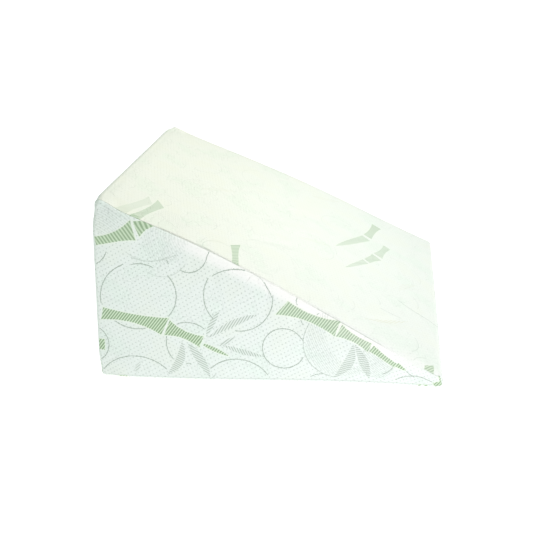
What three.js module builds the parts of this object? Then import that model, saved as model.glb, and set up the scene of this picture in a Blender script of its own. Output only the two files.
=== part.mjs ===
// A wedge pillow: one closed bag of knitted cloth, filled tight, flat where it rests.
// Millimetres, +Z up. +X runs from the tall heel to the thin toe, +Y from the near side to the far side.
// The origin is the middle of the base.
import * as THREE from 'three';

// Driving dimensions
const LENGTH = 610;
const WIDTH = 610;
const HEEL_HEIGHT = 330;
const TOE_HEIGHT = 38;
const EDGE_RADIUS = 9;

// How the filling swells the panels, at the middle of each
const CROWN = 7;
const SIDE_SWELL = 5;
const HEEL_SWELL = 4;
const TOE_SWELL = 2;

// How far the seams between the slope and the sides pull in
const SEAM_DEPTH = 2.2;
// The sides pull in between the corners, most along the floor
const SIDE_DRAW = 3;
// The upright corners are eased round, so each is pulled in over this reach
const CORNER_PULL = 5;
const CORNER_REACH = 42;

// Cells along each way of the bag: the panels between the rounded edges, and each rounded edge
const CELLS_ALONG = 26;
const CELLS_ACROSS = 24;
const CELLS_UP = 8;
const CELLS_ROUND = 2;

const CLOTH_COLOUR = 0xe9ece4;

// Where the sewn corners stand, off the even wedge.
// end: heel -1, toe 1. side: near -1, far 1. level: base -1, top 1.
const CORNERS = [
  { end: -1, side: -1, level: 1, dx: 8, dy: 8, dz: 4 },
  { end: -1, side: 1, level: 1, dx: 6, dy: 0, dz: -1 },
  { end: 1, side: 1, level: 1, dx: -2, dy: 0, dz: 14 },
  { end: 1, side: -1, level: 1, dx: -3, dy: 0, dz: -8 },
  { end: -1, side: -1, level: -1, dx: -3, dy: -4, dz: 0 },
  { end: 1, side: -1, level: -1, dx: 2, dy: 1, dz: 0 },
];

// Soft creases of the slope. Each runs between two places, as shares of half the length and half the width.
// rise: a ridge above 0, a trough below 0.
const CREASES = [
  { fromAlong: -0.26, fromAcross: -0.62, toAlong: 0.2, toAcross: -0.28, rise: -2.2, reach: 18 },
  { fromAlong: -0.16, fromAcross: 0.1, toAlong: 0.42, toAcross: 0.46, rise: -1.8, reach: 30 },
  { fromAlong: -0.2, fromAcross: -0.3, toAlong: 0.3, toAcross: 0.08, rise: 1.6, reach: 34 },
  { fromAlong: 0.5, fromAcross: -0.88, toAlong: 0.88, toAcross: -0.56, rise: -2.4, reach: 17 },
  { fromAlong: 0.64, fromAcross: -0.3, toAlong: 1, toAcross: -0.47, rise: -1.6, reach: 14 },
];

const slopeAngle = Math.atan2(HEEL_HEIGHT - TOE_HEIGHT, LENGTH);
const slopeNormal = new THREE.Vector3(Math.sin(slopeAngle), 0, Math.cos(slopeAngle));
const lengthwise = new THREE.Vector3(1, 0, 0);
const crosswise = new THREE.Vector3(0, 1, 0);
const upright = new THREE.Vector3(0, 0, 1);

// Stops along one way of the bag.
// at: the place on the inner wedge, -1 to 1. turn: how far the edge has turned, -1 to 1.
function stops(cells) {
  const list = [];
  for (let i = 0; i < CELLS_ROUND; i += 1) list.push({ at: -1, turn: i / CELLS_ROUND - 1 });
  for (let i = 0; i <= cells; i += 1) list.push({ at: (2 * i) / cells - 1, turn: 0 });
  for (let i = 1; i <= CELLS_ROUND; i += 1) list.push({ at: 1, turn: i / CELLS_ROUND });
  return list;
}

// The inner wedge is the outer one moved in by the edge radius from every plane.
function innerPoint(along, across, level) {
  const x = along * (LENGTH / 2 - EDGE_RADIUS);
  const y = across * (WIDTH / 2 - EDGE_RADIUS);
  const top = HEEL_HEIGHT - (x + LENGTH / 2) * Math.tan(slopeAngle) - EDGE_RADIUS / Math.cos(slopeAngle);
  const z = EDGE_RADIUS + ((level + 1) / 2) * (top - EDGE_RADIUS);
  return new THREE.Vector3(x, y, z);
}

// Outward direction: the panels' normals, mixed by how far each edge has turned.
function outward(along, across, level) {
  const direction = lengthwise.clone().multiplyScalar(along.turn);
  direction.addScaledVector(crosswise, across.turn);
  direction.addScaledVector(level.turn > 0 ? slopeNormal : upright, level.turn);
  return direction.normalize();
}

// 1 in the middle of a panel and 0 at its two ends, level at both.
function hump(share) {
  return Math.cos((Math.PI / 2) * share) ** 2;
}

// Falls from 1 on a line to 0 at the given reach from it.
function nearLine(distance, reach) {
  return distance < reach ? Math.cos((Math.PI / 2) * (distance / reach)) ** 2 : 0;
}

// Rise of the slope's creases at a place given in shares of half the length and half the width.
function creaseRise(along, across) {
  let rise = 0;
  for (const crease of CREASES) {
    const fromX = (crease.fromAlong * LENGTH) / 2;
    const fromY = (crease.fromAcross * WIDTH) / 2;
    const runX = (crease.toAlong * LENGTH) / 2 - fromX;
    const runY = (crease.toAcross * WIDTH) / 2 - fromY;
    const awayX = (along * LENGTH) / 2 - fromX;
    const awayY = (across * WIDTH) / 2 - fromY;
    const share = (awayX * runX + awayY * runY) / (runX * runX + runY * runY);
    const distance = Math.abs(awayX * runY - awayY * runX) / Math.hypot(runX, runY);
    if (share > 0 && share < 1) rise += crease.rise * hump(2 * share - 1) * nearLine(distance, crease.reach);
  }
  return rise;
}

// Moves a point with the sewn corners, each in proportion to how near it is.
function pullToCorners(point, along, across, level) {
  for (const corner of CORNERS) {
    const nearness = ((1 + corner.end * along) * (1 + corner.side * across) * (1 + corner.level * level)) / 8;
    point.x += nearness * corner.dx;
    point.y += nearness * corner.dy;
    point.z += nearness * corner.dz;
  }
}

// Pulls a point near an upright corner in towards the middle of the bag.
function easeCorner(point, along, across) {
  const fromEnd = ((1 - Math.abs(along)) * LENGTH) / 2;
  const fromSide = ((1 - Math.abs(across)) * WIDTH) / 2;
  const pull = CORNER_PULL * nearLine(fromEnd, CORNER_REACH) * nearLine(fromSide, CORNER_REACH);
  point.x -= Math.sign(along) * pull;
  point.y -= Math.sign(across) * pull;
}

// The bag's surface at one stop along, one across and one up.
function surfacePoint(along, across, level) {
  const point = innerPoint(along.at, across.at, level.at);
  const direction = outward(along, across, level);
  point.addScaledVector(direction, EDGE_RADIUS);
  const height = (level.at + 1) / 2;
  point.z += height * CROWN * hump(along.at) * (1 + 0.5 * hump(across.at));
  if (level.turn === 1) point.addScaledVector(slopeNormal, creaseRise(along.at, across.at));
  const sideSwell = SIDE_SWELL * (1 - level.at ** 2) - SIDE_DRAW * (1 - height);
  point.y += across.turn * (1 - along.at ** 2) * sideSwell;
  const endSwell = along.turn > 0 ? TOE_SWELL : HEEL_SWELL;
  point.x += along.turn * endSwell * (1 - across.at ** 2) * (1 - level.at ** 2);
  if (Math.abs(across.turn) === 1 && level.turn === 1) point.addScaledVector(direction, -SEAM_DEPTH);
  easeCorner(point, along.at, across.at);
  pullToCorners(point, along.at, across.at, level.at);
  return point;
}

// The six panels of the bag. Each is a grid over two of the three ways, with the third held at one end.
function bagGeometry() {
  const along = stops(CELLS_ALONG);
  const across = stops(CELLS_ACROSS);
  const up = stops(CELLS_UP);
  const positions = [];
  const index = [];
  const numbers = new Map();

  // Points that panels share are made once, so the bag is closed.
  function pointNumber(i, j, k) {
    const key = `${i},${j},${k}`;
    if (!numbers.has(key)) {
      numbers.set(key, positions.length / 3);
      positions.push(...surfacePoint(along[i], across[j], up[k]).toArray());
    }
    return numbers.get(key);
  }

  function panel(rows, columns, corner, flip) {
    for (let r = 0; r < rows - 1; r += 1) {
      for (let c = 0; c < columns - 1; c += 1) {
        const a = pointNumber(...corner(r, c));
        const b = pointNumber(...corner(r + 1, c));
        const d = pointNumber(...corner(r, c + 1));
        const e = pointNumber(...corner(r + 1, c + 1));
        index.push(...(flip ? [a, e, b, a, d, e] : [a, b, e, a, e, d]));
      }
    }
  }

  const lastAlong = along.length - 1;
  const lastAcross = across.length - 1;
  const lastUp = up.length - 1;
  panel(along.length, across.length, (r, c) => [r, c, lastUp], false);
  panel(along.length, across.length, (r, c) => [r, c, 0], true);
  panel(along.length, up.length, (r, c) => [r, 0, c], false);
  panel(along.length, up.length, (r, c) => [r, lastAcross, c], true);
  panel(across.length, up.length, (r, c) => [0, r, c], true);
  panel(across.length, up.length, (r, c) => [lastAlong, r, c], false);

  const geometry = new THREE.BufferGeometry();
  geometry.setAttribute('position', new THREE.Float32BufferAttribute(positions, 3));
  geometry.setIndex(index);
  geometry.computeVertexNormals();
  return geometry;
}

function wedgeCushion() {
  const cloth = new THREE.MeshStandardMaterial({ color: CLOTH_COLOUR, roughness: 0.9, metalness: 0 });
  const cushion = new THREE.Mesh(bagGeometry(), cloth);
  cushion.name = 'wedge_cushion';
  return cushion;
}

const pillow = new THREE.Group();
pillow.add(wedgeCushion());

export default pillow;
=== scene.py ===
"""A wedge pillow: one tightly filled bag of double knit with woven-in canes, leaves and rings."""

import math
from typing import NamedTuple

import bpy
import numpy as np
from mathutils import Matrix, Vector


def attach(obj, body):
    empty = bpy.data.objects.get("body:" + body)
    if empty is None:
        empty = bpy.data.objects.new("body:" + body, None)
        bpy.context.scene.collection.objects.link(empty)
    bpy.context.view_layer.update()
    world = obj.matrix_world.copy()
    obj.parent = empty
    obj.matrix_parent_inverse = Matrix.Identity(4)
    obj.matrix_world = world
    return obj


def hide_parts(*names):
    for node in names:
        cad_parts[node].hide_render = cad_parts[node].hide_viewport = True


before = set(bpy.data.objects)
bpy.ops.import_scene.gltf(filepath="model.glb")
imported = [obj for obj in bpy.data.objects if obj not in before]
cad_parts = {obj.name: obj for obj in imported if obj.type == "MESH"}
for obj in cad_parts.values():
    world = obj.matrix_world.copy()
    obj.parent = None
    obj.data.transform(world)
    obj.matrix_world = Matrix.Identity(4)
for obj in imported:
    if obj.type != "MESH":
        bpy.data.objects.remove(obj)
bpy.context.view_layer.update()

bl_info = {
    "name": "Wedge pillow",
    "version": (1, 0, 0),
    "blender": (4, 5, 0),
    "location": "View3D > Sidebar > Pillow",
    "description": "Makes a filled wedge pillow of patterned knit, and the studio it stands in",
    "category": "Object",
}

NODE = "wedge_cushion"
MILLIMETRE = 0.001

# Where the sewn corners stand, off the even wedge, in millimetres.
# end: heel -1, toe 1. side: near -1, far 1. level: base -1, top 1.
CORNERS = (
    {"end": -1, "side": -1, "level": 1, "move": (8, 8, 6)},
    {"end": -1, "side": 1, "level": 1, "move": (6, 0, 0)},
    {"end": 1, "side": 1, "level": 1, "move": (-1, 0, 16)},
    {"end": 1, "side": -1, "level": 1, "move": (-2, 0, -8)},
    {"end": -1, "side": -1, "level": -1, "move": (-3, -4, 0)},
    {"end": 1, "side": -1, "level": -1, "move": (2, 1, 0)},
)

# Soft creases of the slope, between two places in shares of half the length and half the width.
# rise and reach are in millimetres, and a trough's rise is below 0.
SLOPE_CREASES = (
    {"start": (-0.26, -0.62), "end": (0.2, -0.28), "rise": -2.2, "reach": 18},
    {"start": (-0.16, 0.1), "end": (0.42, 0.46), "rise": -1.8, "reach": 30},
    {"start": (-0.2, -0.3), "end": (0.3, 0.08), "rise": 1.6, "reach": 34},
    {"start": (0.5, -0.88), "end": (0.88, -0.56), "rise": -2.4, "reach": 17},
    {"start": (0.64, -0.3), "end": (1.0, -0.47), "rise": -1.6, "reach": 14},
)


class Cane(NamedTuple):
    """A piece of stem, in millimetres on the cloth: its half widths at start, waist and end, and its bow.

    A slant is how much further along the cut stands for each millimetre off the middle line. lean is the way
    that the rows of stitches lean, 1 or -1. weight is how strongly the piece shows.
    """

    start: tuple
    end: tuple
    halves: tuple
    bow: float = 0.0
    slants: tuple = (0.0, 0.0)
    lean: int = 1
    weight: float = 1.0


class Arc(NamedTuple):
    """A thin line round a centre, in millimetres and degrees on the cloth, from one angle up to another."""

    centre: tuple
    radius: float
    start: float
    end: float
    weight: float = 1.0


class Leaf(NamedTuple):
    """A tapered blade of short hatched lines, in millimetres on the cloth.

    half is half its width, bow is how far it bows, and hatch is the lines' angle in degrees.
    """

    start: tuple
    end: tuple
    half: float
    bow: float
    hatch: float
    weight: float = 1.0


class Crescent(NamedTuple):
    """Fine lines inside one circle and outside another, curved about a third point, all on the cloth.

    A circle is given by its centre and radius in millimetres. pitch is the step from line to line.
    """

    inside: tuple
    outside: tuple
    about: tuple
    pitch: float
    weight: float


SIDE_CANES = (
    Cane((-300, 255), (-232.5, 274), (7.5, 7, 18), bow=-2, lean=-1),
    Cane((-227, 276), (-176, 300), (15, 6, 10), lean=-1),
    Cane((-293, 124), (-180, 102), (11.5, 5.5, 17), bow=4, slants=(0, 0.25)),
    Cane((-176, 101), (-115, 76), (15, 4.8, 11)),
    Cane((-111, 71), (-68, 51), (2, 4.2, 0)),
    Cane((27, 141), (122, 107), (14, 4.2, 14), slants=(0.42, 0), weight=0.85),
    Cane((125, 104), (179, 77), (11.5, 4.8, 9), bow=1, weight=0.8),
    Cane((182, 76), (224, 46), (7, 4.6, 4.5), weight=0.9),
    Cane((226, 48), (241, 38), (5, 3.2, 1.2)),
    Cane((-303, 65), (-291, 65), (10, 10, 10)),
    Cane((288, 8), (308, 15), (4.5, 5.5, 8)),
    Cane((301.5, 34), (301.5, 19), (1.8, 1.5, 2)),
    Cane((261.5, 3), (267, 3), (3.4, 3.4, 3.4)),
    Cane((271.5, 3), (278, 3), (3.4, 3.4, 3.4)),
    Cane((-268, 4), (-253, 4), (1.4, 1.4, 1.4)),
)

SLOPE_CANES = (
    Cane((-260, -303), (-234.5, -195.5), (10, 5.5, 12), slants=(0, 0.8), weight=0.58),
    Cane((-264, -312), (-258, -288), (11, 9, 7), weight=0.85),
    Cane((-288, -300), (-255.5, -198.5), (12, 7, 10.5), slants=(0, 1.0), weight=0.26),
    Cane((-64, -308), (-80, -230), (7, 5.2, 9.8), slants=(0, -0.84), weight=0.72),
    Cane((193.5, 227), (174, 137), (11.7, 6.5, 10), weight=0.62),
    Cane((171, 125), (106, -5), (10.5, 8, 0), weight=0.5),
    Cane((221, 133), (201, 60), (8.5, 5.5, 11), weight=0.5),
    Cane((198, 50), (177, 4), (12, 8, 7), weight=0.55),
    Cane((174, -3), (132, -84), (7.5, 5, 0), weight=0.45),
    Cane((309.5, -296), (312.5, -311), (9.5, 8.5, 9.5), slants=(-0.49, 0), weight=0.8),
)

SIDE_ARCS = (
    Arc((-230, 153), 65, 108, 190),
    Arc((-209, 158), 51, -46, 46),
    Arc((-225, 164), 52, 58, 104),
    Arc((-229, 166), 68, -128, -76),
    Arc((-53, 158), 57, 148, 226),
    Arc((-58, 130), 71.5, 21, 46),
    Arc((-58, 130), 71.5, 46, 76, 0.3),
    Arc((-58, 130), 71.5, 76, 122),
    Arc((-48, 155), 58, -98, 5),
    Arc((29, 67), 37, 25, 337),
    Arc((-141, 63), 48, 48, 112),
    Arc((-127, 75), 51, 166, 220),
    Arc((-236, -34), 80, 44, 142),
    Arc((-54, -20), 65, 32, 136),
    Arc((-134, 228), 30, -126, 8),
    Arc((-318, 250), 40, -64, -18),
    Arc((-317, 66), 34, -62, 60),
    Arc((-199, 322), 102, -112, -66, 0.45),
    Arc((255, -22), 48, 46, 132),
    Arc((129, 79), 66, 126, 262, 0.7),
    Arc((-60, 262), 30, 178, 250, 0.4),
    Arc((96, -14), 34, 86, 128),
    Arc((184, 62), 40, -66, -28),
    Arc((40, 108), 22, 8, 36, 0.8),
    Arc((72, 157), 23, 180, 214, 0.8),
    Arc((-200, 290), 70, -128, -62, 0.35),
    Arc((-180, 238), 46, -128, -32, 0.35),
    Arc((351, 139), 150, 222.3, 231.1),
    Arc((-190, 208), 20, 14, 44, 0.9),
    Arc((-139, 26), 9, 50, 130, 0.9),
    Arc((-118, 30), 30, -62, -30, 0.6),
)

SLOPE_ARCS = (
    Arc((468, 457), 600, 248.4, 257.2, 1.0),
    Arc((220, 23), 200, 267, 280, 0.8),
    Arc((-154, -192), 30, -34, 42, 0.5),
    Arc((-94, -284), 37.5, 28, 200, 0.5),
    Arc((-240, -176), 20, -58, 54, 0.35),
    Arc((-84, -127), 22, -36, 36, 0.4),
    Arc((-10, -210), 58, 20, 160, 0.3),
    Arc((46, -290), 30, -24, 26, 0.4),
    Arc((128, -226), 32, -34, 36, 0.35),
    Arc((243, -247), 45.5, -46, 32, 0.6),
    Arc((308, -308), 28, 82, 172, 0.5),
    Arc((246, -84), 46, -18, 44, 0.45),
    Arc((190, -158), 20, -20, 50, 0.5),
    Arc((5, 66), 27, 0, 125, 0.3),
    Arc((-168, -40), 60, 30, 210, 0.28),
    Arc((60, -60), 46, -60, 100, 0.3),
    Arc((-230, 120), 56, -80, 70, 0.28),
    Arc((-70, 170), 62, 100, 280, 0.28),
    Arc((110, 110), 44, 60, 250, 0.28),
    Arc((250, 40), 50, -20, 130, 0.28),
)

SIDE_LEAVES = (
    Leaf((-150, 78), (-180, 11), 8, 11, -28),
    Leaf((-140, 74), (-101, 8), 8, 3, -28),
    Leaf((-107, 84), (-82, 132), 5, 2, 32),
    Leaf((-103, 83), (-14, 127), 6, 5, 58),
    Leaf((-84, 69), (-54, 86), 4, 0, 40),
    Leaf((-80, 71), (-3, 51), 5, -2, -64),
    Leaf((150, 84), (115, 12), 9, 10, 18),
    Leaf((153, 82), (178, 12), 8, 3, 10),
    Leaf((-236, 12), (-226, 36), 4, 1, 40, 0.7),
)

SLOPE_LEAVES = (
    Leaf((-190, -40), (-120, 30), 8, 6, 60, 0.4),
    Leaf((30, 220), (100, 270), 8, -5, 60, 0.4),
    Leaf((30, -60), (100, -20), 7, 5, 60, 0.4),
    Leaf((250, -60), (290, 10), 8, 6, 60, 0.4),
    Leaf((-128, -268), (-92, -236), 6, 3, 60, 0.3),
    # Not a leaf: the tan mark along a fold, partly a tan tint of the cloth, partly painted shade of the
    # crease
    Leaf((177, -254), (271, -170), 4.5, -2, 60, 0.9),
)

SIDE_CRESCENTS = (
    Crescent((130, 80, 65), (166, 102, 64), (330, 190), 3.6, 0.3),
    Crescent((190, 48, 34), (240, 80, 40), (330, 190), 3.6, 0.32),
    Crescent((-270, 292, 34), (-200, 200, 20), (-330, 200), 3.8, 0.22),
    Crescent((-178, 252, 40), (-110, 210, 40), (-60, 300), 3.8, 0.17),
)

SLOPE_CRESCENTS = (
    Crescent((-200, -240, 34), (-160, -200, 24), (-60, -200), 4.0, 0.2),
    Crescent((160, 40, 50), (190, 60, 48), (330, 190), 4.0, 0.2),
)

# How each upright panel's cloth runs, so that none of them is mirrored: 1 with its axis, -1 against it
CLOTH_WAY = {"near": 1, "far": -1, "heel": -1, "toe": 1}


def metres(name, description, default):
    """A length that the user may change."""
    return bpy.props.FloatProperty(name=name, description=description, default=default, unit="LENGTH")


def knit_colour(name, description, default):
    """A colour that the user may change."""
    words = {"name": name, "description": description, "default": default}
    return bpy.props.FloatVectorProperty(**words, size=3, subtype="COLOR")


class PillowSizes(bpy.types.PropertyGroup):
    """Sizes of the stuffed cover."""

    length: metres("Length", "From heel to toe", 0.61)
    width: metres("Width", "From side to side", 0.61)
    heel: metres("Heel", "Height of the tall end", 0.33)
    toe: metres("Toe", "Height of the thin end", 0.038)
    edge: metres("Edge", "Radius of the edges", 0.009)
    crown: metres("Crown", "Rise of the slope", 0.0085)
    near_rise: metres("Near rise", "Extra rise of the near seam past the heel", 0.004)
    side_swell: metres("Side swell", "Swell of the side panels", 0.005)
    side_draw: metres("Side draw", "How far the sides pull in along the floor", 0.003)
    heel_swell: metres("Heel swell", "Swell of the heel panel", 0.004)
    toe_swell: metres("Toe swell", "Swell of the toe panel", 0.002)
    corner_pull: metres("Corner pull", "How far the upright corners are eased in", 0.005)
    corner_reach: metres("Corner reach", "How far the easing reaches", 0.042)
    seam_depth: metres("Seam depth", "Depth of the sewn seams", 0.0008)
    seam_reach: metres("Seam reach", "Half the width of the dip at a seam", 0.0016)
    sway: metres("Sway", "How far the near side's foot bends in and out", 0.004)
    shoulder: metres("Shoulder", "How far the sides lean in at the seam", 0.006)
    shoulder_reach: metres("Shoulder reach", "How far down the sides lean in", 0.026)


class PillowColours(bpy.types.PropertyGroup):
    """Colours of the knit, and of the highlight and shade painted on it."""

    ground: knit_colour("Ground", "The sides' cloth", (0.805, 0.865, 0.83))
    slope_heel: knit_colour("Slope at the heel", "The slope's cloth, heel", (0.865, 0.87, 0.785))
    slope_toe: knit_colour("Slope at the toe", "The slope's cloth, toe", (0.845, 0.875, 0.835))
    # Also colours the tan fold on the slope, which is partly painted crease shade
    slope_leaf_and_fold_shade: knit_colour("Slope leaves", "The slope's leaves", (0.62, 0.60, 0.40))
    # A painted highlight: the sides' cloth is lightened to this below the seam, where it rolls over towards
    # the light
    seam_highlight: knit_colour("Highlight", "The sides' cloth at the seam", (0.97, 0.96, 0.94))
    cane_dark: knit_colour("Cane, dark rows", "Dark rows", (0.22, 0.35, 0.19))
    cane_light: knit_colour("Cane, light rows", "Light rows", (0.69, 0.82, 0.63))
    cane_rim: knit_colour("Cane rim", "Stitches round the canes", (0.84, 0.92, 0.76))
    # Also the colour of the painted shade in the seam's groove and along the foot
    line: knit_colour("Lines", "Rings, pips and leaves", (0.38, 0.46, 0.39))


# The slope rises this much more down its middle, as a share of the crown
CROWN_MIDDLE = 0.5

# Where the near seam's extra rise is greatest and how far it reaches, in shares of half the length
NEAR_RISE_AT = -0.4
NEAR_RISE_REACH = 0.6

# The seam drifts round the long edge by this much for each half length, in radians
SEAM_DRIFT = 0.62

# Places where the seam is pulled flat, each with its reach, in shares of half the length, and by what share
SEAM_EASES = ((0.045, 0.3), (0.82, 0.2))
SEAM_EASING = 0.8

# How far round the base's edge the painted shade along the foot lies, as a share of the turn to the corner
FOOT_SHADE_TURN = 0.3

# The heel's upright corners are eased: how much on the whole, how much more at the far side, and by what
# share of that at the floor
CORNER_EVEN = 1.2
CORNER_FAR_SIDE = 0.4
CORNER_AT_FLOOR = 0.7

# Cells of the cover between its rounded edges along, across and up, and cells round each edge
COVER_CELLS = (140, 140, 50)
COVER_ROUND_CELLS = 8

# The settling of the cloth: its coarse copy's cells, frames and pressure, how stiff the cloth is, its
# shrinking, which below 0 is slack, and the cap on a move in metres
SETTLE_CELLS = (64, 64, 24)
SETTLE_ROUND_CELLS = 2
SETTLE_FRAMES = 20
SETTLE_PRESSURE = 4.0
SETTLE_STIFFNESS = 250.0
SETTLE_BENDING = 0.6
SETTLE_SHRINKING = -0.0015
SETTLE_CAP = 0.0018

# The panels that the filling pushes out: which way each is held at one end, and at which end. The base rests.
PUSHED = {"slope": (2, 1), "near": (1, -1), "far": (1, 1), "heel": (0, -1), "toe": (0, 1)}


def hump(share):
    """1 at share 0, falling to 0 at -1 and 1, level at both: the cosine of a quarter turn, squared."""
    return np.cos(np.clip(share, -1, 1) * math.pi / 2) ** 2


def stops(cells, round_cells):
    """Stops along one way of the bag: places -1 to 1 on the inner wedge, and how far the edge has turned."""
    turning = np.arange(round_cells) / round_cells
    at = np.concatenate([-np.ones(round_cells), np.linspace(-1, 1, cells + 1), np.ones(round_cells)])
    turn = np.concatenate([turning - 1, np.zeros(cells + 1), 1 - turning[::-1]])
    return at, turn


def crease_rise(sizes, along, across):
    """Each crease is a hump across its line and a hump along it. The rises add up."""
    rise = np.zeros_like(along)
    half = np.array([sizes.length, sizes.width]) / 2
    for crease in SLOPE_CREASES:
        start = np.array(crease["start"]) * half
        run = np.array(crease["end"]) * half - start
        away_x = along * half[0] - start[0]
        away_y = across * half[1] - start[1]
        share = (away_x * run[0] + away_y * run[1]) / (run @ run)
        distance = (away_x * run[1] - away_y * run[0]) / math.hypot(*run)
        line = hump(distance / (crease["reach"] * MILLIMETRE))
        rise += crease["rise"] * MILLIMETRE * line * hump(2 * share - 1)
    return rise


def slope_angle(sizes):
    """How steeply the slope falls, in radians."""
    return math.atan2(sizes.heel - sizes.toe, sizes.length)


def inner_top(sizes, inner_x):
    """Height of the inner wedge's slope, which lies one edge radius inside the outer wedge's."""
    angle = slope_angle(sizes)
    return sizes.heel - (inner_x + sizes.length / 2) * math.tan(angle) - sizes.edge / math.cos(angle)


def outward(slope_normal, along, across, up):
    """Outward directions: the panels' normals, mixed by how far each edge has turned.

    Along an edge the direction turns evenly. On the edges of the slope it reaches the seam at seam_angle.
    """
    (x_at, x_turn), (_, y_turn), (_, z_turn) = along, across, up
    seam = np.where(z_turn > 0, seam_angle(x_at), math.pi / 4)
    x_share = np.tan(x_turn * math.pi / 4)
    y_share = np.tan(y_turn * (math.pi / 2 - seam)) * np.tan(seam) * np.cos(seam)
    z_share = np.tan(z_turn * seam) / np.tan(seam) * np.sin(seam)
    level_normal = np.where(z_turn[:, None] > 0, slope_normal, np.array([0.0, 0, 1]))
    out = np.stack([x_share, y_share * math.sqrt(2), np.zeros_like(x_share)], -1)
    out += z_share[:, None] * level_normal * math.sqrt(2)
    return out / np.linalg.norm(out, axis=1, keepdims=True)


def bag_surface(sizes, along, across, up):
    """The bag's surface. Each argument is (place, turn) arrays for one way.

    A point is the inner wedge's point, moved out by the edge radius along the mixed panel normals.
    The crown, the swells, the seams, the eased corners and the sewn corners' own places are then added.
    """
    (x_at, x_turn), (y_at, y_turn), (z_at, z_turn) = along, across, up
    angle = slope_angle(sizes)
    slope_normal = np.array([math.sin(angle), 0, math.cos(angle)])
    x = x_at * (sizes.length / 2 - sizes.edge)
    y = y_at * (sizes.width / 2 - sizes.edge)
    top = inner_top(sizes, x)
    height = (z_at + 1) / 2
    point = np.stack([x, y, sizes.edge + height * (top - sizes.edge)], -1)
    out = outward(slope_normal, along, across, up)
    point += out * sizes.edge

    point[:, 2] += height * sizes.crown * hump(x_at) * (1 + CROWN_MIDDLE * hump(y_at))
    near_rise = sizes.near_rise * hump((x_at - NEAR_RISE_AT) / NEAR_RISE_REACH)
    point[:, 2] += height * near_rise * (1 - y_at) / 2
    on_slope = (z_turn == 1)[:, None]
    point += on_slope * slope_normal * crease_rise(sizes, x_at, y_at)[:, None]
    swell = sizes.side_swell * (1 - z_at**2) - sizes.side_draw * (1 - height)
    point[:, 1] += y_turn * (1 - x_at**2) * swell
    below_seam = (1 - height) * (top - sizes.edge) + sizes.edge * (1 - np.clip(z_turn, 0, 1))
    lean = np.clip(1 - below_seam / sizes.shoulder_reach, 0, 1) ** 2
    point[:, 1] -= y_turn * sizes.shoulder * lean * (1 - x_at**2)
    point[:, 1] += (y_at < 0) * (1 - height) * sizes.sway * np.sin(math.pi * x_at)
    end_swell = np.where(x_turn > 0, sizes.toe_swell, sizes.heel_swell)
    point[:, 0] += x_turn * end_swell * (1 - y_at**2) * (1 - z_at**2)
    depth = sizes.seam_depth * (1 - SEAM_EASING * seam_ease(x_at))
    point -= out * (hump(seam_gap(sizes, along, across, up) / sizes.seam_reach) * depth)[:, None]

    from_end = (1 - np.abs(x_at)) * sizes.length / 2
    from_side = (1 - np.abs(y_at)) * sizes.width / 2
    pull = sizes.corner_pull * hump(from_end / sizes.corner_reach) * hump(from_side / sizes.corner_reach)
    from_top = (1 - height) * (top - sizes.edge)
    from_base = height * (top - sizes.edge)
    near_corner = hump(from_top / sizes.corner_reach) + CORNER_AT_FLOOR * hump(from_base / sizes.corner_reach)
    pull = pull * near_corner * (x_at < 0) * (CORNER_EVEN + CORNER_FAR_SIDE * y_at)
    point[:, 0] -= np.sign(x_at) * pull
    point[:, 1] -= np.sign(y_at) * pull
    for corner in CORNERS:
        nearness = (1 + corner["end"] * x_at) * (1 + corner["side"] * y_at) * (1 + corner["level"] * z_at) / 8
        point += nearness[:, None] * np.array(corner["move"]) * MILLIMETRE
    return point


def seam_angle(along):
    """How far round the long edge the seam lies, in radians from the side.

    It drifts evenly, from near the top at the heel to near the side at the toe.
    """
    return math.pi / 4 - SEAM_DRIFT * along


def seam_ease(along):
    """How far the seam is pulled flat, 0 to 1: two humps, past the middle and near the toe."""
    return sum(hump((along - middle) / reach) for middle, reach in SEAM_EASES)


def seam_gap(sizes, along, across, up):
    """Distance along the cloth from the seam between the slope and a side.

    The heel, the toe and the base are away from it, so there it is the pillow's length.
    """
    turn = seam_angle(along[0])
    top = inner_top(sizes, along[0] * (sizes.length / 2 - sizes.edge))
    down = (1 - up[0]) / 2 * (top - sizes.edge) + sizes.edge * turn * (1 - np.clip(up[1], 0, 1))
    inward = (1 - np.abs(across[0])) * (sizes.width / 2 - sizes.edge)
    inward = inward + sizes.edge * (math.pi / 2 - turn) * (1 - np.abs(across[1]))
    return np.where(np.abs(across[1]) == 1, down, np.where(up[1] == 1, inward, sizes.length))


def vertex_places(mesh):
    """The places of a mesh's vertices, one row each."""
    places = np.empty(len(mesh.vertices) * 3, dtype=np.float32)
    mesh.vertices.foreach_get("co", places)
    return places.reshape(-1, 3).astype(float)


def lattice_keys(panels, counts):
    """One number for each lattice point of each panel. Panels share the numbers of their edges."""
    return {name: (g[0] * counts[1] + g[1]) * counts[2] + g[2] for name, g, _ in panels}


def foot_shade_gap(sizes, along, across, up):
    """Distance along the cloth from the line of painted shade round the foot, a little way round the base's
    edge.

    Only the places close to it count, so above the edge each panel is taken to be as low as the toe.
    """
    upright = (np.abs(across[1]) == 1) | (np.abs(along[1]) == 1)
    rise = (up[0] + 1) / 2 * (sizes.toe - 2 * sizes.edge)
    rise = rise + sizes.edge * math.pi / 4 * (up[1] + FOOT_SHADE_TURN)
    return np.where(upright, np.abs(rise), sizes.length)


def panel_grids(ways):
    """Each panel's lattice numbers, as rows and columns, with its name and whether its faces turn over."""
    last = [len(at) - 1 for at, _ in ways]
    i, j, k = (np.arange(n + 1) for n in last)

    def grid(rows, columns, held, order):
        r, c = np.meshgrid(rows, columns, indexing="ij")
        lattice = [None, None, None]
        lattice[order[0]], lattice[order[1]], lattice[order[2]] = r, c, np.full_like(r, held)
        return lattice

    return (
        ("slope", grid(i, j, last[2], (0, 1, 2)), False),
        ("base", grid(i, j, 0, (0, 1, 2)), True),
        ("near", grid(i, k, 0, (0, 2, 1)), False),
        ("far", grid(i, k, last[1], (0, 2, 1)), True),
        ("heel", grid(j, k, 0, (1, 2, 0)), True),
        ("toe", grid(j, k, last[0], (1, 2, 0)), False),
    )


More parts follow.
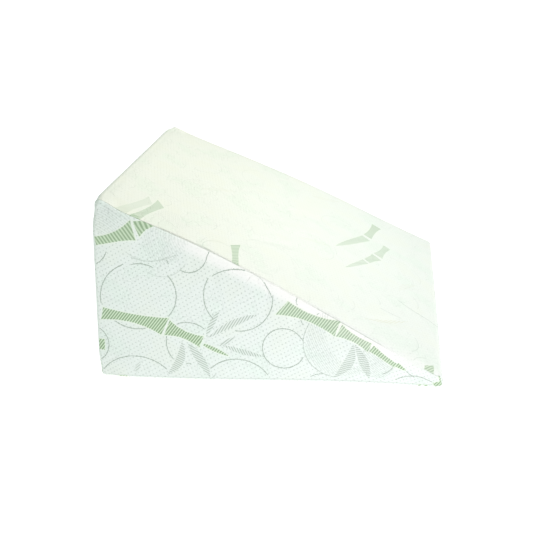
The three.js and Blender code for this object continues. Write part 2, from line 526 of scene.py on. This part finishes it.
def cloth_place(sizes, panel, along, across, up):
    """Cloth coordinates in metres, measured over the rounded edges.

    The second one goes across the slope and the base, and up the other panels.
    """
    arc = sizes.edge * math.pi / 4
    inner_x = along[0] * (sizes.length / 2 - sizes.edge)
    inner_y = across[0] * (sizes.width / 2 - sizes.edge)
    x = inner_x + along[1] * arc
    y = inner_y + across[1] * arc
    if panel == "base":
        return x, -y
    if panel == "slope":
        y = inner_y + across[1] * sizes.edge * (math.pi / 2 - seam_angle(along[0]))
        return inner_x / math.cos(slope_angle(sizes)) + along[1] * arc, y
    top = inner_top(sizes, inner_x)
    over = sizes.edge * seam_angle(along[0]) if panel in ("near", "far") else arc
    z = sizes.edge + (up[0] + 1) / 2 * (top - sizes.edge) + up[1] * np.where(up[1] > 0, over, arc)
    return CLOTH_WAY[panel] * (x if panel in ("near", "far") else y), z


def build_bag(sizes, cells, round_cells, moves=None):
    """One closed mesh of six panels that share their edge points, with a cloth map in metres.

    moves holds each panel's moves on a coarser lattice, from settle_panels.
    """
    ways = [stops(n, round_cells) for n in cells]
    counts = [len(at) for at, _ in ways]
    panels = panel_grids(ways)
    keys = list(lattice_keys(panels, counts).values())
    used, inverse = np.unique(np.concatenate([k.ravel() for k in keys]), return_inverse=True)
    lattice = (used // (counts[1] * counts[2]), used // counts[2] % counts[1], used % counts[2])
    stations = [(way[0][n], way[1][n]) for way, n in zip(ways, lattice)]
    points = bag_surface(sizes, *stations)
    if moves:
        points += panel_moves(moves, stations)

    faces, places, finishes = [], [], []
    offset = 0
    for (name, grid, flip), key in zip(panels, keys):
        number = inverse[offset : offset + key.size].reshape(key.shape)
        offset += key.size
        here = [(way[0][n], way[1][n]) for way, n in zip(ways, grid)]
        place = np.stack(cloth_place(sizes, name, *here), -1)
        corners = [(0, 0), (1, 0), (1, 1), (0, 1)]
        if flip:
            corners = corners[::-1]
        height, width = key.shape
        parts = [(slice(r, height - 1 + r), slice(c, width - 1 + c)) for r, c in corners]
        faces.append(np.stack([number[p] for p in parts], -1).reshape(-1, 4))
        places.append(np.stack([place[p] for p in parts], -2).reshape(-1, 2))
        finishes.append(np.full(len(faces[-1]), 1 if name in ("slope", "base") else 0))

    mesh = bpy.data.meshes.new("pillow_cover")
    mesh.from_pydata(points.tolist(), [], np.concatenate(faces).tolist())
    layer = mesh.uv_layers.new(name="cloth")
    layer.uv.foreach_set("vector", np.concatenate(places).astype(np.float32).ravel())
    # Where the seam is pulled flat, its painted shade fades too
    gap = seam_gap(sizes, *stations) + sizes.seam_reach * seam_ease(stations[0][0])
    mesh.attributes.new("seam", "FLOAT", "POINT").data.foreach_set("value", gap.astype(np.float32))
    # Distance from the painted shade along the foot, where the rounded bottom edge turns from the light
    foot = foot_shade_gap(sizes, *stations)
    mesh.attributes.new("foot", "FLOAT", "POINT").data.foreach_set("value", foot.astype(np.float32))
    mesh.polygons.foreach_set("material_index", np.concatenate(finishes).astype(np.int32))
    mesh.polygons.foreach_set("use_smooth", np.ones(len(mesh.polygons), dtype=bool))
    mesh.update()
    return mesh


def spread(values, u, v):
    """Values between a coarse lattice's points: a cubic through the four nearest rows and columns."""
    rows_here, columns_here = np.floor(u).astype(int), np.floor(v).astype(int)
    total = np.zeros((len(u), values.shape[2]))
    for i, row_share in enumerate(cubic_shares(u - rows_here)):
        row = np.clip(rows_here + i - 1, 0, values.shape[0] - 1)
        for j, column_share in enumerate(cubic_shares(v - columns_here)):
            column = np.clip(columns_here + j - 1, 0, values.shape[1] - 1)
            total += values[row, column] * (row_share * column_share)[:, None]
    return total


def cubic_shares(t):
    """How much each of four neighbours counts at t, from 0 at the second to 1 at the third."""
    first = (-(t**3) + 2 * t**2 - t) / 2
    second = (3 * t**3 - 5 * t**2 + 2) / 2
    third = (-3 * t**3 + 4 * t**2 + t) / 2
    return first, second, third, (t**3 - t**2) / 2


def panel_moves(moves, stations):
    """Each panel's coarse moves, carried over to the stations that lie on it. The edges and the base stay."""
    total = np.zeros((len(stations[0][0]), 3))
    for name, (held, end) in PUSHED.items():
        here = stations[held][1] == end
        first, second = (stations[way][0][here] for way in range(3) if way != held)
        grid = moves[name]
        u = (first + 1) / 2 * (grid.shape[0] - 1)
        v = (second + 1) / 2 * (grid.shape[1] - 1)
        total[here] += spread(grid, u, v)
    return total


def settle_panels(scene, sizes):
    """Each panel's moves under the filling's pressure, from Blender's Cloth on a coarse copy of the bag.

    The base, the seams and the rounded edges are held. A move m is eased to cap * tanh(m / cap).
    """
    cells, round_cells = SETTLE_CELLS, SETTLE_ROUND_CELLS
    ways = [stops(n, round_cells) for n in cells]
    counts = [len(at) for at, _ in ways]
    mesh = build_bag(sizes, cells, round_cells)
    copy = bpy.data.objects.new("settling", mesh)
    scene.collection.objects.link(copy)
    before = vertex_places(mesh)
    numbers = {}
    free = np.zeros(len(before), dtype=bool)
    keys = lattice_keys(panel_grids(ways), counts)
    used = np.unique(np.concatenate([key.ravel() for key in keys.values()]))
    for name in PUSHED:
        inner = [slice(round_cells, -round_cells)] * 2
        numbers[name] = np.searchsorted(used, keys[name][tuple(inner)])
        free[numbers[name][1:-1, 1:-1]] = True
    group = copy.vertex_groups.new(name="held")
    group.add(np.flatnonzero(~free).tolist(), 1.0, "REPLACE")

    cloth = copy.modifiers.new("settle", "CLOTH")
    cloth.point_cache.frame_start = 1
    cloth.point_cache.frame_end = SETTLE_FRAMES
    settings = cloth.settings
    settings.vertex_group_mass = "held"
    settings.use_pressure = True
    settings.uniform_pressure_force = SETTLE_PRESSURE
    settings.effector_weights.gravity = 0.0
    settings.tension_stiffness = SETTLE_STIFFNESS
    settings.compression_stiffness = SETTLE_STIFFNESS
    settings.bending_stiffness = SETTLE_BENDING
    settings.shrink_min = SETTLE_SHRINKING
    for number in range(1, SETTLE_FRAMES + 1):
        scene.frame_set(number)
    settled = copy.evaluated_get(bpy.context.evaluated_depsgraph_get())
    move = vertex_places(settled.data) - before
    bpy.data.objects.remove(copy)
    bpy.data.meshes.remove(mesh)
    scene.frame_set(1)
    far = np.linalg.norm(move, axis=1, keepdims=True).clip(1e-9)
    move *= SETTLE_CAP / far * np.tanh(far / SETTLE_CAP)
    return {name: move[number] for name, number in numbers.items()}


class Wire:
    """One output of a material's nodes. Arithmetic on it adds Math nodes."""

    def __init__(self, finish, socket):
        self.finish = finish
        self.socket = socket

    def maths(self, operation, *others):
        """A Math node on this wire and the others."""
        sockets = dict(enumerate((self, *others)))
        return self.finish.node("ShaderNodeMath", {"operation": operation}, sockets)

    def vector(self, operation, *others, output="Vector"):
        """A Vector Math node on this wire and the others."""
        sockets = dict(enumerate((self, *others)))
        return self.finish.node("ShaderNodeVectorMath", {"operation": operation}, sockets, output)

    def __add__(self, other):
        return self.maths("ADD", other)

    def __sub__(self, other):
        return self.maths("SUBTRACT", other)

    def __rsub__(self, other):
        return self.maths("MULTIPLY_ADD", -1.0, other)

    def __mul__(self, other):
        return self.maths("MULTIPLY", other)

    def __pow__(self, other):
        return self.maths("POWER", other)

    def __abs__(self):
        return self.maths("ABSOLUTE")

    def at_least(self, other):
        return self.maths("MAXIMUM", other)

    def at_most(self, other):
        return self.maths("MINIMUM", other)

    def towards(self, x, y):
        """How far a place lies along a direction."""
        return self.vector("DOT_PRODUCT", (x, y, 0), output="Value")

    def length(self):
        return self.vector("LENGTH", output="Value")

    def ramp(self, low, high):
        """0 below low, 1 above high, smooth between."""
        sockets = {"Value": self, "From Min": low, "From Max": high}
        return self.finish.node("ShaderNodeMapRange", {"interpolation_type": "SMOOTHSTEP"}, sockets)


class Finish:
    """The nodes of one material."""

    def __init__(self, name):
        self.material = bpy.data.materials.new(name)
        self.material.use_nodes = True
        self.tree = self.material.node_tree
        self.tree.nodes.clear()

    def node(self, kind, settings=None, sockets=None, output=0):
        """Adds a node: its settings first, then the values or links of its sockets."""
        made = self.tree.nodes.new(kind)
        for key, value in (settings or {}).items():
            setattr(made, key, value)
        for key, value in (sockets or {}).items():
            if isinstance(value, Wire):
                self.tree.links.new(value.socket, made.inputs[key])
            else:
                made.inputs[key].default_value = value
        return Wire(self, made.outputs[output] if made.outputs else None)

    def mix(self, share, first, second):
        """Colour mixed from first to second."""
        settings = {"data_type": "RGBA", "clamp_factor": True}
        return self.node("ShaderNodeMix", settings, {0: share, 6: first, 7: second}, output=2)

    def tint(self, first, second):
        """Two colours multiplied."""
        settings = {"data_type": "RGBA", "blend_type": "MULTIPLY"}
        return self.node("ShaderNodeMix", settings, {0: 1.0, 6: first, 7: second}, output=2)

    def noise(self, spot, scale, detail, output=0):
        """Noise over the cloth, its scale in turns for each millimetre."""
        sockets = {"Vector": spot, "Scale": scale, "Detail": detail}
        return self.node("ShaderNodeTexNoise", {"noise_dimensions": "2D"}, sockets, output)


def colour(values):
    """A colour with its alpha, which is 1."""
    return (*values, 1.0)


def grey(value):
    """An even grey with its alpha, which is 1."""
    return colour((value,) * 3)


# The pattern's repeats, in millimetres: a leaf's lines, the rows of a cane that leans either way with their
# direction in degrees, pitch and contrast, and the two steps of the pips' lattice
HATCH_PITCH = 3.9
CANE_ROWS = {1: (-38, 4.3, 0.85), -1: (35, 5.5, 0.6)}
PIP_STEPS = np.array([[2.0, -7.4], [5.8, 3.3]])

# The side cloth above a line shows on the heel and the far side alone. The line falls by REPEAT_FALL for
# each millimetre along, and its height at the middle is REPEAT_LEVEL. Above it, and past REPEAT_PAST along,
# the cloth repeats what lies a whole number of pips lower.
REPEAT_FALL = 0.4787
REPEAT_LEVEL = 190
REPEAT_PAST = 33
REPEAT_STEP = np.array([2, 55]) @ PIP_STEPS

# Where each thing sets in, in millimetres on the cloth: none of it at the first number, all at the second.
# Inside a cane or leaf the number is above 0. The others are distances from the middle of a line or pip.
CANE_EDGE = (-0.5, 0.5)
RIM_OUTSIDE = (-2.8, -1.0)
RIM_INSIDE = (0.6, -0.6)
LEAF_EDGE = (-0.4, 0.8)
ARC_EDGE = (1.1, 0.4)
ARC_CLEAR_OF_CANE = (-1.2, -2.6)
PIP_EDGE = (1.7, 0.6)
PIP_CLEAR_OF_CANE = (-1.5, -3.5)
SEAM_EDGE = (0.9, 0.2)
FOOT_EDGE = (1.6, 0.3)

# The painted highlight below the seam, where the sides roll over to the light: how far down it goes, and
# where along it starts and stops
BAND_DOWN = (27.0, 7.0)
BAND_FROM_HEEL = (-220, -110)
BAND_FROM_TOE = (300, 190)

# How dark the painted shade is in the seam's groove, and along the foot where the rounded bottom edge turns
# from the light
SEAM_SHADE = 0.5
FOOT_SHADE = 0.34

# How fully each thing covers the ground's colour, in a cloth of full strength
COVERS = {"rim": 0.4, "leaf": 0.75, "pip": 0.4, "arc": 0.9}

# How high each thing stands, or how deep, in the relief
RIB_HEIGHT = 0.06
CANE_HEIGHT = 0.15
ROW_DEPTH = 0.12
PIP_DEPTH = 0.45
ARC_DEPTH = 0.4
LEAF_DEPTH = 0.15
CRINKLE_DEPTH = 0.6

# Noise over the cloth, each by its turns for each millimetre and its detail
WOBBLE_NOISE = (0.45, 1.0)
HEATHER_NOISE = (0.9, 3.0)
CLOUD_NOISE = (0.013, 3.0)
CRINKLE_NOISE = (0.032, 2.0)

# How far the wobble moves the motifs' edges, in millimetres, and the heather's darkest and lightest tint
WOBBLE = 2.0
HEATHER = (0.97, 1.03)

# What the cloth's colour is multiplied by where it looks fresher and where it looks warmer, how much of that
# it takes, and between which values of the cloud noise each sets in. Crinkles show in some clouds too.
FRESH = (0.965, 1.0, 0.975)
WARM = (1.0, 0.996, 0.955)
FRESH_SHARE = 0.8
WARM_SHARE = 0.5
FRESH_CLOUDS = (0.52, 0.66)
WARM_CLOUDS = (0.48, 0.34)
CRINKLED_CLOUDS = (0.42, 0.56)

# The two crossing ribs of the knit, each by its direction in degrees and its pitch in millimetres
RIBS = ((35, 1.7), (-55, 1.3))


def stronger(best, wire):
    """The greater of two wires, where the first may be missing."""
    return wire if best is None else best.at_least(wire)


def strongest(wires):
    """The greatest of several wires. Each is merged as it comes, so that few values wait at once."""
    best = None
    for wire in wires:
        best = stronger(best, wire)
    return best


def cane_inside(spot, cane):
    """How far inside a cane a place is, in millimetres, below 0 outside.

    The half width falls from the start to the waist and grows to the end, each as a power of the share.
    The middle line bows as a parabola.
    """
    length = math.dist(cane.start, cane.end)
    run = (np.array(cane.end) - cane.start) / length
    away = spot.vector("SUBTRACT", (*cane.start, 0))
    share = away.towards(*(run / length))
    off = away.towards(-run[1], run[0])
    if cane.bow:
        off = off - share * (1 - share) * (4 * cane.bow)
    first, waist, last = cane.halves
    near = share.at_least(-0.2).at_most(1.2)
    half = (1 - near) ** 3 * (first - waist) + near**3 * (last - waist) + waist
    start_slant, end_slant = cane.slants
    from_start = (share * length - off * start_slant) if start_slant else share * length
    to_end = (1 - share) * length
    if end_slant:
        to_end = to_end + off * end_slant
    return (half - abs(off)).at_most(from_start.at_most(to_end))


def arc_line(spot, arc):
    """1 on an arc's line and 0 off it or past its two ends."""
    away = spot.vector("SUBTRACT", (*arc.centre, 0))
    reach = away.length()
    middle = math.radians(arc.start + arc.end) / 2
    half = math.radians(arc.end - arc.start) / 2
    line = abs(reach - arc.radius).ramp(*ARC_EDGE)
    span = away.towards(math.cos(middle), math.sin(middle)) - reach * math.cos(half)
    return line * span.ramp(0, 1.5 * math.sin(half)) * arc.weight


def rows(spot, direction, pitch):
    """A wave from -1 to 1 along a direction given in degrees, one period for each pitch."""
    angle = math.radians(direction)
    turn = 2 * math.pi / pitch
    return spot.towards(math.cos(angle) * turn, math.sin(angle) * turn).maths("SINE")


def leaf_inside(spot, leaf):
    """How far inside a leaf a place is. The blade is a parabola wide, bowed by a parabola too."""
    length = math.dist(leaf.start, leaf.end)
    run = (np.array(leaf.end) - leaf.start) / length
    away = spot.vector("SUBTRACT", (*leaf.start, 0))
    share = away.towards(*(run / length))
    off = away.towards(-run[1], run[0])
    belly = share * (1 - share) * 4
    return belly * leaf.half - abs(off - belly * leaf.bow)


def hatching(spot, leaf):
    """The lines of a leaf over its faint tint, from 0 to its weight."""
    return (rows(spot, leaf.hatch + 90, HATCH_PITCH).ramp(-0.3, 0.6) * 0.88 + 0.12) * leaf.weight


def crescent_lines(spot, crescent):
    """Fine lines of a crescent, from 0 to its weight: a wave of the distance from the point they go round."""
    inside = spot.vector("SUBTRACT", (*crescent.inside[:2], 0)).length()
    outside = spot.vector("SUBTRACT", (*crescent.outside[:2], 0)).length()
    about = spot.vector("SUBTRACT", (*crescent.about, 0)).length()
    wave = (about * (2 * math.pi / crescent.pitch)).maths("SINE").ramp(-0.3, 0.9)
    here = inside.ramp(crescent.inside[2], crescent.inside[2] - 4)
    return here * outside.ramp(crescent.outside[2] - 6, crescent.outside[2] + 6) * wave * crescent.weight


def repeated(finish, spot, flat):
    """The place on the cloth, moved back by the repeat's step where it lies above the line."""
    above = flat.towards(REPEAT_FALL, 1) - REPEAT_LEVEL
    here = above.at_most(flat.towards(1, 0) - REPEAT_PAST).maths("GREATER_THAN", 0.0)
    sockets = {0: (*REPEAT_STEP, 0), "Scale": here}
    return spot.vector("SUBTRACT", finish.node("ShaderNodeVectorMath", {"operation": "SCALE"}, sockets))


def pip_distance(spot):
    """Distance in millimetres to the nearest pip: the place in lattice steps, less the nearest whole ones."""
    parts = []
    for row in np.linalg.inv(PIP_STEPS.T):
        number = spot.towards(*row)
        parts.append(number - number.maths("ROUND"))
    x = parts[0] * PIP_STEPS[0, 0] + parts[1] * PIP_STEPS[1, 0]
    y = parts[0] * PIP_STEPS[0, 1] + parts[1] * PIP_STEPS[1, 1]
    return (x * x + y * y).maths("SQRT")


def knit_finish(name, colours, grounds, leaf_colour, pattern, strength, shoulder, repeats):
    """The double knit: a pale ground with pips and fine ribs, canes in rows, rings, leaves and crescents.

    grounds are the ground's colours at the heel and at the toe. strength is how strongly the pattern and the
    relief show, and shoulder is how strongly the painted highlight below the seam shows, from 0 to 1. repeats
    tells whether the pattern is repeated high up. The shade at the seam and the foot is painted in as well.
    """
    canes, arcs, leaves, crescents = pattern
    finish = Finish(name)
    place = finish.node("ShaderNodeUVMap", {"uv_map": "cloth"})
    flat = place.vector("MULTIPLY", (1 / MILLIMETRE, 1 / MILLIMETRE, 0))
    wobble = finish.noise(flat, *WOBBLE_NOISE, "Color").vector("SUBTRACT", (0.5, 0.5, 0.5))
    spot = wobble.vector("MULTIPLY_ADD", (WOBBLE, WOBBLE, 0), flat)
    if repeats:
        spot = repeated(finish, spot, flat)

    near_cane = None
    cane_shares = {}
    for cane in canes:
        inside = cane_inside(spot, cane)
        near_cane = stronger(near_cane, inside)
        share = inside.ramp(*CANE_EDGE) * cane.weight
        cane_shares[cane.lean] = stronger(cane_shares.get(cane.lean), share)
    in_leaf = on_leaf = None
    for leaf in leaves:
        share = leaf_inside(spot, leaf).ramp(*LEAF_EDGE)
        on_leaf = stronger(on_leaf, share)
        in_leaf = stronger(in_leaf, share * hatching(flat, leaf))
    in_crescent = strongest(crescent_lines(spot, crescent) for crescent in crescents)
    seam = finish.node("ShaderNodeAttribute", {"attribute_name": "seam"}, output="Fac") * (1 / MILLIMETRE)
    foot = finish.node("ShaderNodeAttribute", {"attribute_name": "foot"}, output="Fac") * (1 / MILLIMETRE)
    # Painted shade: dark in the seam's groove, and along the foot where the rounded bottom edge turns from
    # the light
    painted_seam_and_foot_shade = (seam.ramp(*SEAM_EDGE) * SEAM_SHADE).at_least(foot.ramp(*FOOT_EDGE) * FOOT_SHADE)
    # Painted highlight: the sides are lightened below the seam, where their cloth rolls over towards the
    # light
    painted_highlight = seam.ramp(*BAND_DOWN) * flat.towards(1, 0).ramp(*BAND_FROM_HEEL)
    painted_highlight = painted_highlight * flat.towards(1, 0).ramp(*BAND_FROM_TOE) * shoulder
    clear_of_cane = near_cane.ramp(*ARC_CLEAR_OF_CANE)
    in_arc = strongest(arc_line(spot, arc) for arc in arcs) * clear_of_cane
    pips = pip_distance(spot).ramp(*PIP_EDGE) * near_cane.ramp(*PIP_CLEAR_OF_CANE)
    # The pips fade out under the painted highlight
    pips = pips * (1 - on_leaf) * (1 - in_crescent * 2) * (1 - painted_highlight)
    rim = near_cane.ramp(*RIM_OUTSIDE) * near_cane.ramp(*RIM_INSIDE)

    heather = finish.noise(flat, *HEATHER_NOISE)
    drift = flat.towards(1, 0).ramp(-330, 330)
    ground = finish.mix(drift, colour(grounds[0]), colour(grounds[1]))
    cloth = finish.tint(finish.mix(heather, grey(HEATHER[0]), grey(HEATHER[1])), ground)
    clouds = finish.noise(flat, *CLOUD_NOISE)
    cloth = finish.tint(finish.mix(clouds.ramp(*FRESH_CLOUDS) * FRESH_SHARE, grey(1), colour(FRESH)), cloth)
    cloth = finish.tint(finish.mix(clouds.ramp(*WARM_CLOUDS) * WARM_SHARE, grey(1), colour(WARM)), cloth)
    # The painted highlight below the seam
    cloth = finish.mix(painted_highlight, cloth, colour(colours.seam_highlight))
    cloth = finish.mix(rim * (COVERS["rim"] * strength), cloth, colour(colours.cane_rim))
    cloth = finish.mix(in_leaf * (COVERS["leaf"] * strength), cloth, colour(leaf_colour))
    cloth = finish.mix(in_crescent * strength, cloth, colour(colours.line))
    cloth = finish.mix(pips * (COVERS["pip"] * strength**2), cloth, colour(colours.line))
    cloth = finish.mix(in_arc * (COVERS["arc"] * strength), cloth, colour(colours.line))
    stripes = {}
    for lean, (direction, pitch, contrast) in CANE_ROWS.items():
        contrast *= strength**0.5
        stripes[lean] = rows(flat, direction, pitch).ramp(-0.75, 0.75) * contrast + (1 - contrast) / 2
    for lean, share in cane_shares.items():
        stem = finish.mix(stripes[lean], colour(colours.cane_dark), colour(colours.cane_light))
        cloth = finish.mix(share, cloth, stem)
    in_cane = strongest(cane_shares.values())
    # The painted shade at the seam and the foot goes over everything else
    base = finish.mix(painted_seam_and_foot_shade, cloth, colour(colours.line))

    ribs = rows(flat, *RIBS[0]) * 0.5 + rows(flat, *RIBS[1]) * 0.5
    height = ribs * RIB_HEIGHT - pips * PIP_DEPTH - in_arc * ARC_DEPTH
    height = height + in_cane * (stripes[1] * -ROW_DEPTH + CANE_HEIGHT)
    crinkles = abs(finish.noise(flat, *CRINKLE_NOISE) - 0.5).ramp(0.05, 0.0)
    crinkles = crinkles * clouds.ramp(*CRINKLED_CLOUDS)
    height = (height - in_leaf * LEAF_DEPTH - in_crescent * LEAF_DEPTH) * strength - crinkles * CRINKLE_DEPTH
    bump = finish.node("ShaderNodeBump", {}, {"Height": height, "Strength": 0.8, "Distance": MILLIMETRE})
    sockets = {
        "Base Color": base,
        "Roughness": 0.86,
        "Normal": bump,
        "Sheen Weight": 0.25,
        "Sheen Roughness": 0.5,
    }
    shader = finish.node("ShaderNodeBsdfPrincipled", {}, sockets)
    finish.node("ShaderNodeOutputMaterial", {}, {"Surface": shader})
    return finish.material


class PILLOW_OT_cover(bpy.types.Operator):
    """Makes the stuffed knit cover"""

    bl_idname = "pillow.cover"
    bl_label = "Stuffed cover"

    def execute(self, context):
        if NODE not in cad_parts:
            raise RuntimeError(f"the frame has no node {NODE}")
        sizes = context.scene.pillow_sizes
        colours = context.scene.pillow_colours
        moves = settle_panels(context.scene, sizes)
        mesh = build_bag(sizes, COVER_CELLS, COVER_ROUND_CELLS, moves)
        cover = bpy.data.objects.new("pillow_cover", mesh)
        context.scene.collection.objects.link(cover)
        side = knit_finish(
            "side_knit",
            colours,
            grounds=(colours.ground, colours.ground),
            leaf_colour=colours.line,
            pattern=(SIDE_CANES, SIDE_ARCS, SIDE_LEAVES, SIDE_CRESCENTS),
            strength=1.0,
            shoulder=0.85,
            repeats=True,
        )
        mesh.materials.append(side)
        slope = knit_finish(
            "slope_knit",
            colours,
            grounds=(colours.slope_heel, colours.slope_toe),
            leaf_colour=colours.slope_leaf_and_fold_shade,
            pattern=(SLOPE_CANES, SLOPE_ARCS, SLOPE_LEAVES, SLOPE_CRESCENTS),
            strength=0.5,
            shoulder=0.0,
            repeats=False,
        )
        mesh.materials.append(slope)
        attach(cover, "root")
        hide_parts(NODE)
        return {"FINISHED"}


class PILLOW_OT_stage(bpy.types.Operator):
    """Makes the floor, the lights and the camera"""

    bl_idname = "pillow.stage"
    bl_label = "Studio"

    def execute(self, context):
        scene = context.scene
        make_floor(scene)
        make_lights(scene)
        make_screen(scene)
        make_camera(scene)
        return {"FINISHED"}


# Half the floor's width, and its height, which keeps it clear of the base, in metres
FLOOR_HALF = 30.0
FLOOR_LEVEL = -0.0004


def make_floor(scene):
    """A wide pale floor that gives a little light of its own, as a lit sweep does."""
    mesh = bpy.data.meshes.new("floor")
    corners = np.array([[-1, -1], [1, -1], [1, 1], [-1, 1]]) * FLOOR_HALF
    mesh.from_pydata(np.c_[corners, np.full(4, FLOOR_LEVEL)].tolist(), [], [(0, 1, 2, 3)])
    floor = bpy.data.objects.new("floor", mesh)
    scene.collection.objects.link(floor)
    finish = Finish("floor_white")
    shader = finish.node(
        "ShaderNodeBsdfPrincipled",
        {},
        {
            "Base Color": (0.5, 0.5, 0.5, 1),
            "Roughness": 1.0,
            "Specular IOR Level": 0.0,
            "Emission Color": (1, 1, 1, 1),
            "Emission Strength": 0.85,
        },
    )
    finish.node("ShaderNodeOutputMaterial", {}, {"Surface": shader})
    mesh.materials.append(finish.material)


# Where each light stands and looks, its size across in metres, its power and its colour
LIGHTS = (
    {
        "name": "overhead",
        "at": (0.36, 0.1, 1.0),
        "to": (0, 0, 0.15),
        "size": 0.8,
        "watts": 4.1,
        "tint": (1, 1, 0.97),
    },
    {
        "name": "toe_side",
        "at": (0.64, -1.05, 0.25),
        "to": (0.1, -0.3, 0.1),
        "size": 0.5,
        "watts": 2.25,
        "tint": (1, 0.86, 1),
    },
)
SURROUND = (0.94, 1.0, 0.95, 1.0)
SURROUND_STRENGTH = 0.7

# A dark screen past the heel, which shades that end: its lower near corner and its upper far one
SCREEN = ((-0.85, -1.3, 0.25), (-0.85, 0.5, 1.6))
SCREEN_COLOUR = (0.26, 0.32, 0.27, 1.0)


def make_lights(scene):
    """Two soft lights and an even pale surround, seen without any film look."""
    for row in LIGHTS:
        light = bpy.data.lights.new(row["name"], "AREA")
        light.shape = "DISK"
        light.size = row["size"]
        light.energy = row["watts"]
        light.color = row["tint"]
        lamp = bpy.data.objects.new(row["name"], light)
        lamp.location = row["at"]
        lamp.rotation_euler = (Vector(row["to"]) - Vector(row["at"])).to_track_quat("-Z", "Y").to_euler()
        scene.collection.objects.link(lamp)
    world = bpy.data.worlds.new("surround")
    world.use_nodes = True
    background = world.node_tree.nodes["Background"]
    background.inputs["Color"].default_value = SURROUND
    background.inputs["Strength"].default_value = SURROUND_STRENGTH
    scene.world = world
    scene.view_settings.view_transform = "Standard"


def make_screen(scene):
    """An upright dark sheet out of the picture, on the heel's side."""
    (x, near, floor), (_, far, top) = SCREEN
    mesh = bpy.data.meshes.new("dark_screen")
    corners = [(x, near, floor), (x, far, floor), (x, far, top), (x, near, top)]
    mesh.from_pydata(corners, [], [(0, 1, 2, 3)])
    screen = bpy.data.objects.new("dark_screen", mesh)
    scene.collection.objects.link(screen)
    screen.visible_camera = False
    finish = Finish("dark_cloth")
    shader = finish.node("ShaderNodeBsdfPrincipled", {}, {"Base Color": SCREEN_COLOUR, "Roughness": 1.0})
    finish.node("ShaderNodeOutputMaterial", {}, {"Surface": shader})
    mesh.materials.append(finish.material)


# The camera, as found from the outline and the seam: where it stands and which way it looks, its lens as a
# share of its sensor, the sensor in millimetres, and the picture's side and principal point in pixels
CAMERA_AT = (0.2064, -1.742, 0.7882)
CAMERA_YAW = math.radians(-7.926)
CAMERA_PITCH = math.radians(21.267)
CAMERA_ROLL = math.radians(-1.612)
LENS_PER_FRAME = 1.731
SENSOR = 36.0
FRAME_SIDE = 533
PRINCIPAL = (268.08, 265.61)


def make_camera(scene):
    """A camera turned by yaw, then tipped down by pitch, then rolled about its own view."""
    data = bpy.data.cameras.new("camera")
    data.sensor_width = SENSOR
    data.lens = LENS_PER_FRAME * SENSOR
    data.shift_x = (FRAME_SIDE / 2 - PRINCIPAL[0]) / FRAME_SIDE
    data.shift_y = (PRINCIPAL[1] - FRAME_SIDE / 2) / FRAME_SIDE
    data.clip_start = 0.05
    forward = Vector(
        (
            math.sin(CAMERA_YAW) * math.cos(CAMERA_PITCH),
            math.cos(CAMERA_YAW) * math.cos(CAMERA_PITCH),
            -math.sin(CAMERA_PITCH),
        )
    )
    level = Vector((math.cos(CAMERA_YAW), -math.sin(CAMERA_YAW), 0))
    above = level.cross(forward)
    right = math.cos(CAMERA_ROLL) * level + math.sin(CAMERA_ROLL) * above
    up = -math.sin(CAMERA_ROLL) * level + math.cos(CAMERA_ROLL) * above
    camera = bpy.data.objects.new("camera", data)
    camera.matrix_world = Matrix.Translation(CAMERA_AT) @ Matrix((right, up, -forward)).transposed().to_4x4()
    scene.collection.objects.link(camera)
    scene.camera = camera


class PILLOW_PT_panel(bpy.types.Panel):
    """Lists the pillow's sizes, colours and pieces."""

    bl_idname = "PILLOW_PT_panel"
    bl_label = "Wedge pillow"
    bl_space_type = "VIEW_3D"
    bl_region_type = "UI"
    bl_category = "Pillow"

    def draw(self, context):
        for group in (context.scene.pillow_sizes, context.scene.pillow_colours):
            for name in group.__annotations__:
                self.layout.prop(group, name)
        for operator in (PILLOW_OT_cover, PILLOW_OT_stage):
            self.layout.operator(operator.bl_idname)


CLASSES = (PillowSizes, PillowColours, PILLOW_OT_cover, PILLOW_OT_stage, PILLOW_PT_panel)


def register():
    for cls in CLASSES:
        bpy.utils.register_class(cls)
    bpy.types.Scene.pillow_sizes = bpy.props.PointerProperty(type=PillowSizes)
    bpy.types.Scene.pillow_colours = bpy.props.PointerProperty(type=PillowColours)


def unregister():
    del bpy.types.Scene.pillow_sizes
    del bpy.types.Scene.pillow_colours
    for cls in reversed(CLASSES):
        bpy.utils.unregister_class(cls)


def main():
    register()
    bpy.ops.pillow.cover()
    bpy.ops.pillow.stage()


if __name__ == "__main__":
    main()
